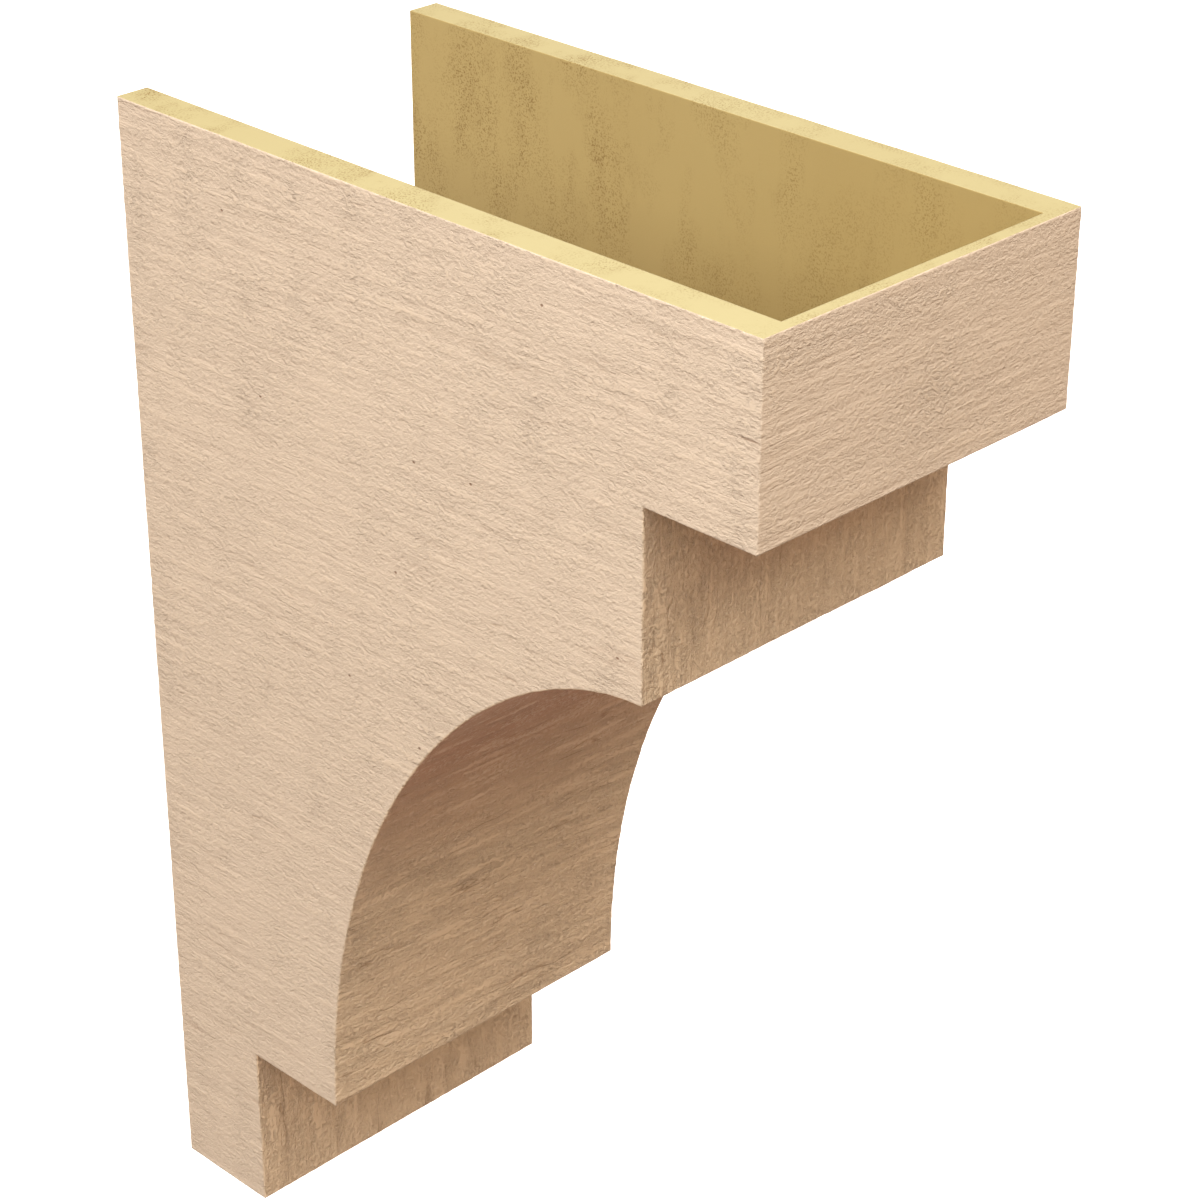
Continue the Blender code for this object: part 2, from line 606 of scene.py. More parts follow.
@dataclass
class Rim:
    """The bare edge that joins the outside to the inside, round the open top or the open back.

    Attributes:
        outside: the outer skin.
        inside: the inner skin.
        stretch: which opening it goes round.
        level: which corner of the outline its middle part lies along.
        edge: the spacing of its first rows.
        pitch: the spacing along it.
        shared: the end points that the rims of the top and of the back have in common, by row.
    """

    outside: Skin
    inside: Skin
    stretch: Stretch
    level: int
    edge: float
    pitch: float
    shared: dict[int, tuple[int, int]]

    SECOND_ROW: ClassVar[float] = 1.7

    def whole_edge(self, skin: Skin) -> list[list[int]]:
        """A skin's edge round the opening.

        Args:
            skin: the outside or the inside.

        Returns:
            The numbers along its left side, its middle and its right side.
        """
        left, right = skin.edge_line(self.stretch, -1), skin.edge_line(self.stretch, 1)
        if self.stretch is Stretch.TOP:
            return [left[::-1], skin.level_line(self.level), right]
        return [left, skin.level_line(self.level), right[::-1]]

    def build(self) -> None:
        """Fill the rim in rows from the outside to the inside."""
        mesh = self.outside.mesh
        facing = (0.0, 0.0, 1.0) if self.stretch is Stretch.TOP else (0.0, 1.0, 0.0)
        panel = Panel(mesh, Face.RIM, seed=RIM_SEED + self.stretch.value)
        side_wall = self.outside.half - self.inside.half
        skin, second = self.inside.outline.inset, self.SECOND_ROW * self.edge
        insets = [
            (self.edge, self.edge),
            (2 * self.edge, second),
            (side_wall / 2, skin / 2),
            (side_wall - 2 * self.edge, skin - second),
            (side_wall - self.edge, skin - self.edge),
        ]
        rows = [self.whole_edge(self.outside)]
        rows += [self.middle_row(mesh, k, *inset) for k, inset in enumerate(insets)]
        rows.append(self.whole_edge(self.inside))
        for row in rows:
            for number in {n for part in row for n in part}:
                x, y, z = mesh.points[number]
                panel.hold(number, (x, -y if self.stretch is Stretch.TOP else z), facing)
        for outer, inner in zip(rows, rows[1:]):
            for outer_part, inner_part in zip(outer, inner):
                panel.zip_edge(outer_part, inner_part)

    def middle_row(self, mesh: ShellMesh, index: int, from_side: float, from_front: float) -> list[list[int]]:
        """Make a row of the rim.

        Args:
            mesh: what the points are added to.
            index: the row's number.
            from_side: how far it lies in from the side faces.
            from_front: how far it lies in from the front or from the underside.

        Returns:
            The numbers of its three parts.
        """
        skin, outline = self.outside, self.outside.outline
        x = skin.half - from_side
        corner = (outline.depth - from_front, outline.height)
        if self.stretch is Stretch.BACK:
            corner = (0.0, from_front)
        end = (0.0, outline.height)
        spots = [(-x, end), (-x, corner), (x, corner), (x, end)]
        points = [np.array(skin.place(*s)) for s in spots]
        if index not in self.shared:
            self.shared[index] = (mesh.add(points[0]), mesh.add(points[3]))
        first, last = self.shared[index]
        numbers = [first, mesh.add(points[1]), mesh.add(points[2]), last]
        parts = []
        for k in range(3):
            start, stop = points[k], points[k + 1]
            length = float(np.linalg.norm(stop - start))
            between = [start + (stop - start) * (s / length) for s in spread(length, self.pitch, self.edge)]
            name = f"rim_{self.stretch.name}_{index}_{k}"
            parts.append(mesh.line(name, between, numbers[k], numbers[k + 1]))
        return parts


class Heights:
    """Smooth random heights between -1 and 1 over a plane, the same at each run."""

    CELLS = 512

    def __init__(self, seed: int) -> None:
        """Draw the heights of the grid's corners."""
        self.table = np.random.default_rng(seed).uniform(-1.0, 1.0, (self.CELLS, self.CELLS))

    def at(self, u: np.ndarray, v: np.ndarray) -> np.ndarray:
        """The height at each place, where one grid cell is 1 by 1.

        Args:
            u: the places' first coordinates.
            v: their second.

        Returns:
            The heights.
        """
        iu, iv = np.floor(u).astype(int), np.floor(v).astype(int)
        fu, fv = u - iu, v - iv
        fu, fv = (f * f * (3 - 2 * f) for f in (fu, fv))
        corners = ((0, 0), (1, 0), (0, 1), (1, 1))
        a, b, c, d = (self.table[(iu + m) % self.CELLS, (iv + n) % self.CELLS] for m, n in corners)
        return (a * (1 - fu) + b * fu) * (1 - fv) + (c * (1 - fu) + d * fu) * fv


@dataclass(frozen=True)
class SawnFace:
    """How rough-sawn a panel is. Lengths are metres.

    Attributes:
        ridge: the height of the long ridges that the saw leaves.
        lump: the height of the torn lumps between them.
        length: how long a ridge runs.
        spacing: how far apart ridges lie.
        across_u: True where the ridges follow the panel's first direction.
        vigour: how rough the fine grit is, from 0 to about 2.
        scoring: how deep the fine saw lines are, from 0 to about 3.
        fineness: how much finer than usual the grit and the saw lines are.
    """

    ridge: float
    lump: float
    length: float
    spacing: float
    across_u: bool
    vigour: float
    scoring: float
    fineness: float = 1.0


UPRIGHT_GRAIN = SawnFace(0.12 * MM, 0.06 * MM, 40 * MM, 3.6 * MM, False, 1.9, 1.4, fineness=1.1)
SAWN = {
    Face.SIDE: SawnFace(0.16 * MM, 0.03 * MM, 70 * MM, 4.6 * MM, True, 0.95, 0.95),
    Face.BLOCK: SawnFace(0.14 * MM, 0.05 * MM, 60 * MM, 4.4 * MM, True, 0.7, 0.85, fineness=1.1),
    Face.RISER: UPRIGHT_GRAIN,
    Face.COVE: SawnFace(0.20 * MM, 0.06 * MM, 90 * MM, 6.0 * MM, True, 2.1, 2.4, fineness=1.1),
    Face.FOOT: UPRIGHT_GRAIN,
    Face.UNDER: SawnFace(0.16 * MM, 0.08 * MM, 60 * MM, 4.4 * MM, True, 0.8, 1.0),
}

UPRIGHT_FACES = (Face.RISER, Face.FOOT)
# The values written on each point; the last carries the painted shadow and painted warm bounce light.
POINT_VALUES = ("relief", "vigour", "scoring", "shade")
COVE_SLANT = 0.06
# Share of the painted warm bounce light, a yellow-brown tint that the cove, the riser and the foot carry
# throughout.
PAINTED_BOUNCE = 0.25


@dataclass(frozen=True)
class PaintedShadow:
    """How much painted shadow a panel's paint carries: places up it and across it, each with its share of
    brown.
    """

    up: tuple[tuple[float, float], ...]
    across: tuple[tuple[float, float], ...] = ((0.0, 1.0),)


# Painted shadow under the overhangs: brown paint up the cove, the riser and the foot, fullest at their tops
# and lighter towards the left ends of the riser and the foot.
PAINTED_SHADOW = {
    Face.COVE: PaintedShadow(((0.12, 0.0), (0.24, 0.8))),
    Face.RISER: PaintedShadow(((0.03, 0.0), (0.09, 1.0)), ((-0.08, 0.15), (-0.03, 1.0), (0.03, 0.9), (0.09, 0.5))),
    Face.FOOT: PaintedShadow(((0.04, 0.0), (0.09, 0.8)), ((-0.08, 0.2), (0.04, 1.0))),
}


@dataclass(frozen=True)
class Wave:
    """Random heights of a size along and across the grain, from a place of its own in the table."""

    along: float
    across: float
    start: float
    start_across: float = 0.0


BANDS_APART = 39 * MM
BANDS_START = 11 * MM
BANDS_WIDTH = 5.5 * MM
BANDS_SWAY = 5 * MM
TORN_AT = (5 * MM, 40 * MM)
TORN_SIZE = 16 * MM
TOP_EDGE_AT = 83 * MM
TOP_EDGE_WIDTH = 8 * MM
TOP_EDGE_END = 20 * MM
BEND_SIZE = 2 * MM

BEND = Wave(0.09, 0.03, 7.3)
LUMPS = Wave(5 * MM, 2.6 * MM, 140)
PATCHES = Wave(0.05, 0.028, 201)
SCORES = Wave(0.04, 0.02, 260)
BANDS_DRIFT = Wave(0.05, 0.2, 300)
BANDS_BROKEN = Wave(BANDS_APART, 0.03, 9, 50)
UNEVEN = Wave(0.02, 0.02, 0)


@dataclass
class Relief:
    """Works out how far each point of a panel stands proud, and the values that the paint reads there."""

    panel: Panel
    u: np.ndarray
    v: np.ndarray

    def __post_init__(self) -> None:
        """Draw the panel's random heights."""
        self.heights = Heights(self.panel.seed)

    def values(self) -> dict[str, np.ndarray]:
        """Work out what the mesh and the paint need.

        Returns:
            One value per point of the panel for each of four names: relief, in millimetres; vigour, of
            the grit; scoring, the depth of the saw lines; and last the painted shadow and warm bounce light.
        """
        if self.panel.face in BARE_FACES:
            return self.bare()
        sawn = SAWN[self.panel.face]
        along, across = (self.u, self.v) if sawn.across_u else (self.v, self.u)
        patch = 0.5 + 0.5 * self.wave(PATCHES, along, across)
        vigour = sawn.vigour * (0.75 + 0.45 * patch) + self.rough_places()
        lumps = self.wave(LUMPS, along, across) * vigour
        relief = sawn.ridge * self.ridges(sawn, along, across) * (0.55 + 0.6 * patch) + sawn.lump * lumps
        scoring = sawn.scoring * (0.75 + 0.4 * self.wave(SCORES, along, across)) + self.scored_places()
        return {"relief": relief / MM, "vigour": vigour, "scoring": scoring, "shade": self.shade()}

    def wave(self, wave: Wave, along: np.ndarray, across: np.ndarray) -> np.ndarray:
        """The heights of a wave at places given along and across the grain."""
        return self.heights.at(along / wave.along + wave.start, across / wave.across + wave.start_across)

    def ridges(self, sawn: SawnFace, along: np.ndarray, across: np.ndarray) -> np.ndarray:
        """The long ridges of the saw, and finer ones between them.

        Args:
            sawn: how the panel is sawn.
            along: the points' places along the grain.
            across: their places across it.

        Returns:
            The heights, about 1 at the top of a ridge.
        """
        askew = COVE_SLANT * along if self.panel.face is Face.COVE else 0.0
        bend = BEND_SIZE * self.wave(BEND, along, across)
        lane = (across + askew + bend) / sawn.spacing
        coarse = 0.7 - 1.6 * np.abs(self.heights.at(along / sawn.length + 31, lane))
        return coarse + 0.4 * self.heights.at(along / (0.4 * sawn.length) + 77, 1.9 * lane)

    def rough_places(self) -> np.ndarray:
        """Extra roughness.

        Returns:
            Upright bands on a side, a torn patch and the top edge on the block, the left ends of the
            riser and of the foot.
        """
        if self.panel.face is Face.SIDE:
            sway = BANDS_SWAY * self.wave(BANDS_DRIFT, self.v, self.u)
            off = (self.u + sway + BANDS_START) % BANDS_APART - BANDS_APART / 2
            broken = np.clip(self.wave(BANDS_BROKEN, self.u, self.v), 0, 1)
            return 0.8 * np.exp(-((off / BANDS_WIDTH) ** 2)) * broken
        if self.panel.face is Face.BLOCK:
            away = np.hypot(self.u - TORN_AT[0], self.v - TORN_AT[1])
            torn = np.exp(-((away / TORN_SIZE) ** 2) / 2)
            top = np.exp(-(((self.v - TOP_EDGE_AT) / TOP_EDGE_WIDTH) ** 2)) * (self.u < TOP_EDGE_END)
            return 0.7 * torn + 0.5 * top
        return 0.5 * self.left_end(0.03)

    def scored_places(self) -> np.ndarray:
        """Extra depth of the saw lines at the left ends of the riser and of the foot."""
        return 1.4 * self.left_end(0.025)

    def left_end(self, reach: float) -> np.ndarray:
        """How near a point is to the left end of the riser or of the foot.

        Args:
            reach: how far from the end the value has fallen to about a third.

        Returns:
            1 at the end, less and less from there on, and 0 on other panels.
        """
        if self.panel.face not in UPRIGHT_FACES:
            return np.zeros_like(self.u)
        return np.exp(-(self.u - self.u.min()) / reach)

    def shade(self) -> np.ndarray:
        """Painted shadow and warm bounce light: a yellow-brown tint over the cove, riser and foot, and brown
        deepening towards their tops.

        Returns:
            0 for the base colour, the tint's share for the painted warm bounce light, 1 for the full brown of
            the painted shadow.
        """
        if self.panel.face not in PAINTED_SHADOW:
            return np.zeros_like(self.u)
        shadow_plan = PAINTED_SHADOW[self.panel.face]
        # How much brown painted shadow falls here, up the panel and across it.
        brown = np.interp(self.v, *zip(*shadow_plan.up)) * np.interp(self.u, *zip(*shadow_plan.across))
        return PAINTED_BOUNCE + (1.0 - PAINTED_BOUNCE) * brown

    def bare(self) -> dict[str, np.ndarray]:
        """The values of bare foam, which is only slightly uneven.

        Returns:
            The same names as for a sawn panel.
        """
        nothing = np.zeros_like(self.u)
        relief = 0.05 * self.wave(UNEVEN, self.u, self.v)
        return {"relief": relief, "vigour": nothing + 0.25, "scoring": nothing, "shade": nothing}


@dataclass
class CorbelShell:
    """The whole corbel, as one closed mesh with relief."""

    side_wall: float = 18.3 * MM
    front_skin: float = 7.0 * MM
    soft_edge: float = 1.0 * MM
    inside_edge: float = 0.5 * MM
    rim_edge: float = 0.8 * MM
    rim_pitch: float = 3.0 * MM

    def __post_init__(self) -> None:
        """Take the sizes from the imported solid."""
        low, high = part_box(NODE)
        self.half = (high.x - low.x) / 2
        self.outline = Outline(depth=high.y - low.y, height=high.z - low.z)
        self.lift = low.z
        self.mesh = ShellMesh()

    def build(self) -> bpy.types.Object:
        """Make the shell's mesh and dress it.

        Returns:
            The shell's object.
        """
        outside, inside = self.outer_skin(), self.inner_skin()
        outside.build()
        inside.build()
        ends: dict[int, tuple[int, int]] = {}
        for stretch, level in ((Stretch.TOP, 7), (Stretch.BACK, 0)):
            Rim(outside, inside, stretch, level, self.rim_edge, self.rim_pitch, ends).build()
        return self.to_object()

    def outer_skin(self) -> Skin:
        """The sawn and primed outside, finest across the grain.

        Returns:
            The skin, not built yet.
        """
        fine, even = 1.35 * MM, 2.8 * MM
        return Skin(
            self.mesh,
            "outside",
            self.outline,
            self.half,
            self.lift,
            outward=1.0,
            edge=self.soft_edge,
            level_pitch=1.6 * MM,
            side_pitch=Pitch(4.6 * MM, fine),
            front_pitch={
                Stretch.FLOOR: Pitch(4 * MM, 4 * MM),
                Stretch.FOOT: Pitch(fine, even),
                Stretch.LEDGE: Pitch(even, even),
                Stretch.COVE: Pitch(3.2 * MM, fine),
                Stretch.RISER: Pitch(fine, even),
                Stretch.SOFFIT: Pitch(even, even),
                Stretch.BLOCK: Pitch(even, fine),
            },
        )

    def inner_skin(self) -> Skin:
        """The bare inside of the hollow.

        Returns:
            The skin, not built yet.
        """
        return Skin(
            self.mesh,
            "inside",
            self.outline.moved_in(self.front_skin, 0.0),
            self.half - self.side_wall,
            self.lift,
            outward=-1.0,
            edge=self.inside_edge,
            level_pitch=8 * MM,
            side_pitch=Pitch(12 * MM, 8 * MM),
            front_pitch=dict.fromkeys(FRONT_STRETCHES, Pitch(12 * MM, 9 * MM)),
            bare=True,
        )

    def displaced(self) -> tuple[np.ndarray, np.ndarray, dict[str, np.ndarray]]:
        """Move the points out by the relief, and settle how far the edges are eased.

        Returns:
            The points with relief, the further move that eases the edges, and the values by name.
        """
        points = np.array(self.mesh.points)
        ease = np.zeros_like(points)
        moved = points.copy()
        values = {name: np.zeros(len(points)) for name in POINT_VALUES}
        shares = np.zeros(len(points))
        for panel in self.mesh.panels:
            for number in panel.spots:
                shares[number] += 1
        for panel in self.mesh.panels:
            numbers = np.array(list(panel.spots))
            spots = np.array([panel.spots[n] for n in numbers])
            normals = np.array([panel.normals[n] for n in numbers])
            here = Relief(panel, spots[:, 0], spots[:, 1]).values()
            on_edge = shares[numbers] > 1
            bare = panel.face in BARE_FACES
            radius = self.inside_edge if bare else self.soft_edge
            rounding = np.where(on_edge, -(1 - math.sqrt(0.5)) * radius, 0.0)
            hollow = np.isin(numbers, list(self.mesh.hollow_edges))
            rounding = np.where(hollow, -rounding, rounding)
            moved[numbers] += here["relief"][:, None] * MM * normals
            ease[numbers] += rounding[:, None] * normals
            for name, value in here.items():
                values[name][numbers] += value / shares[numbers]
        return moved, ease, values

    def to_object(self) -> bpy.types.Object:
        """Turn the points and faces into a Blender object with its attributes.

        Returns:
            The object. Its normals are those of the relief before the edges are eased.
        """
        moved, ease, values = self.displaced()
        data = bpy.data.meshes.new("corbel_shell_relief")
        data.from_pydata(moved.tolist(), [], self.mesh.faces)
        self.write_attributes(data, values)
        self.face_outwards(data)
        data.shade_smooth()
        normals = np.empty(len(moved) * 3)
        data.vertex_normals.foreach_get("vector", normals)
        data.vertices.foreach_set("co", (moved + ease).ravel())
        data.update()
        data.normals_split_custom_set_from_vertices(normals.reshape(-1, 3).tolist())
        piece = bpy.data.objects.new("corbel_shell_sawn", data)
        bpy.context.scene.collection.objects.link(piece)
        return piece

    def write_attributes(self, data: bpy.types.Mesh, values: dict[str, np.ndarray]) -> None:
        """Write the material of each face, and where each corner lies along and across the grain.

        Args:
            data: the mesh.
            values: the values that the paint reads, one per point.
        """
        panels = self.mesh.panels
        slots = [SLOT_OF_FACE.get(panels[k].face, 0) for k in self.mesh.face_panel]
        data.polygons.foreach_set("material_index", slots)
        grain = data.attributes.new("grain", "FLOAT_VECTOR", "CORNER")
        places = []
        for numbers, k in zip(self.mesh.faces, self.mesh.face_panel):
            panel = panels[k]
            fineness = SAWN[panel.face].fineness if panel.face in SAWN else 1.0
            turned = panel.face in UPRIGHT_FACES
            askew = COVE_SLANT if panel.face is Face.COVE else 0.0
            for number in numbers:
                u, v = (fineness * place for place in panel.spots[number])
                places += (v, u, panel.seed) if turned else (u, v + askew * u, panel.seed)
        grain.data.foreach_set("vector", places)
        for name, value in values.items():
            data.attributes.new(name, "FLOAT", "POINT").data.foreach_set("value", value)

    @staticmethod
    def face_outwards(data: bpy.types.Mesh) -> None:
        """Turn every face outwards.

        Args:
            data: the mesh.
        """
        shape = bmesh.new()
        shape.from_mesh(data)
        bmesh.ops.recalc_face_normals(shape, faces=shape.faces)
        shape.to_mesh(data)
        shape.free()


class Signal:
    """A node's output. Arithmetic on it adds Math nodes."""

    def __init__(self, tree: bpy.types.NodeTree, socket: bpy.types.NodeSocket) -> None:
        """Keep the tree and the socket."""
        self.tree = tree
        self.socket = socket

    def math(self, operation: str, *others: Any) -> Signal:
        """Add a Math node with this signal as its first value."""
        return self.chain(operation, self, *others)

    def chain(self, operation: str, *values: Any) -> Signal:
        """Add a Math node.

        Args:
            operation: the Math node's operation.
            values: signals or numbers, in the order of the node's sockets.

        Returns:
            The node's output.
        """
        node = self.tree.nodes.new("ShaderNodeMath")
        node.operation = operation
        for socket, value in zip(node.inputs, values):
            if isinstance(value, Signal):
                self.tree.links.new(value.socket, socket)
            else:
                socket.default_value = value
        return Signal(self.tree, node.outputs[0])

    def __add__(self, other: Any) -> Signal:
        """This plus other."""
        return self.chain("ADD", self, other)

    def __radd__(self, other: Any) -> Signal:
        """Other plus this."""
        return self.chain("ADD", other, self)

    def __sub__(self, other: Any) -> Signal:
        """This minus other."""
        return self.chain("SUBTRACT", self, other)

    def __rsub__(self, other: Any) -> Signal:
        """Other minus this."""
        return self.chain("SUBTRACT", other, self)

    def __mul__(self, other: Any) -> Signal:
        """This times other."""
        return self.chain("MULTIPLY", self, other)

    def __rmul__(self, other: Any) -> Signal:
        """Other times this."""
        return self.chain("MULTIPLY", other, self)

    def clamped(self) -> Signal:
        """This, kept between 0 and 1."""
        return self.chain("MAXIMUM", 0.0, self.chain("MINIMUM", self, 1.0))

    def ramp(self, low: float, high: float) -> Signal:
        """0 up to low, 1 from high on, and a straight rise between."""
        return ((self - low) * (1.0 / (high - low))).clamped()


class Nodes:
    """A node tree under construction."""

    def __init__(self, tree: bpy.types.NodeTree) -> None:
        """Keep the tree."""
        self.tree = tree

    def node(self, kind: str, settings: dict[str, Any], sockets: dict[Any, Any], output: Any = 0) -> Signal:
        """Add any node.

        Args:
            kind: the node's type.
            settings: its settings, which are set first.
            sockets: values or signals for its inputs, by name or number.
            output: which output is wanted, by name or number.

        Returns:
            The output.
        """
        made = self.tree.nodes.new(kind)
        for key, value in settings.items():
            setattr(made, key, value)
        for key, value in sockets.items():
            if isinstance(value, Signal):
                self.tree.links.new(value.socket, made.inputs[key])
            else:
                made.inputs[key].default_value = value
        return Signal(self.tree, made.outputs[output])

    def attribute(self, name: str, output: str) -> Signal:
        """Read one of the mesh's attributes."""
        return self.node("ShaderNodeAttribute", {"attribute_name": name}, {}, output)

    def noise(self, vector: Signal, scale: float, detail: float, roughness: float) -> Signal:
        """Noise over a vector, about 0.5 in the middle."""
        sockets = {"Vector": vector, "Scale": scale, "Detail": detail, "Roughness": roughness}
        return self.node("ShaderNodeTexNoise", {"noise_dimensions": "3D"}, sockets)

    def vector(self, operation: str, first: Any, second: Any, output: str = "Vector") -> Signal:
        """Add a Vector Math node with two inputs."""
        return self.node("ShaderNodeVectorMath", {"operation": operation}, {0: first, 1: second}, output)

    def scaled(self, vector: Any, share: Signal) -> Signal:
        """A vector or colour times a signal."""
        return self.node("ShaderNodeVectorMath", {"operation": "SCALE"}, {0: vector, "Scale": share})

    def blend(self, share: Any, first: Any, second: Any) -> Signal:
        """Mix two colours, which are values or signals."""
        settings = {"data_type": "RGBA"}
        return self.node("ShaderNodeMix", settings, {0: share, 6: first, 7: second}, 2)


@dataclass(frozen=True)
class Layer:
    """Noise along the grain.

    Attributes:
        along: its cells per metre along the grain.
        across: its cells per metre across it.
        apart: how far the panels lie from each other in it.
        detail: how many finer octaves it has.
        roughness: how strong they are.
    """

    along: float
    across: float
    apart: float
    detail: float
    roughness: float


class Finish(Nodes):
    """A material under construction."""

    def __init__(self, name: str) -> None:
        """Start a material with a Principled shader.

        Args:
            name: the material's name.
        """
        self.material = bpy.data.materials.new(name)
        self.material.use_nodes = True
        super().__init__(self.material.node_tree)
        self.shader = self.tree.nodes["Principled BSDF"]

    def layer(self, grain: Signal, layer: Layer) -> Signal:
        """Noise stretched along the grain, about 0.5 in the middle."""
        stretched = self.vector("MULTIPLY", grain, (layer.along, layer.across, layer.apart))
        return self.noise(stretched, 1.0, layer.detail, layer.roughness)

    def set(self, socket: str, value: Any) -> None:
        """Set or link one of the shader's sockets.

        Args:
            socket: its name.
            value: a value or a signal.
        """
        if isinstance(value, Signal):
            self.tree.links.new(value.socket, self.shader.inputs[socket])
        else:
            self.shader.inputs[socket].default_value = value

    def coat(self, colour: Any, roughness: float, gloss: float) -> None:
        """Set the shader's colour, its roughness and the strength of its shine."""
        for name, value in (("Base Color", colour), ("Roughness", roughness), ("Specular IOR Level", gloss)):
            self.set(name, value)

    def bump(self, height: Signal, distance: float) -> None:
        """Feed a height in units of distance to the shader's normal."""
        sockets = {"Height": height, "Distance": distance, "Strength": 1.0}
        self.set("Normal", self.node("ShaderNodeBump", {}, sockets))


def srgb(red: float, green: float, blue: float) -> Colour:
    """A colour for a shader's socket.

    Args:
        red: how much red it shows on screen, from 0 to 255.
        green: the same for green.
        blue: the same for blue.

    Returns:
        The colour in linear values, with alpha 1.
    """
    levels = [c / 255 for c in (red, green, blue)]
    linear = [c / 12.92 if c <= 0.04045 else ((c + 0.055) / 1.055) ** 2.4 for c in levels]
    return (*linear, 1.0)


@dataclass(frozen=True)
class Mark:
    """A pit or a crack: where it lies on the panel with this seed, its half length and half width."""

    along: float
    across: float
    seed: int
    length: float = 1.1 * MM
    width: float = 0.8 * MM
    depth: float = 0.75


LEFT_SIDE = SIDE_SEED - 1
PANELS_APART = 10.0
MARKS = (
    *(
        Mark(along * MM, across * MM, LEFT_SIDE)
        for along, across in (
            (283.2, 587.4), (237.9, 489.6), (95.3, 486.5), (73.9, 572.8), (200.9, 487.9),
            (186.5, 427.5), (328.4, 437.8), (151.3, 359.8), (199.6, 339.8),
        )
    ),
    Mark(400.4 * MM, 564.4 * MM, LEFT_SIDE, length=7.5 * MM, width=0.7 * MM, depth=0.5),
)


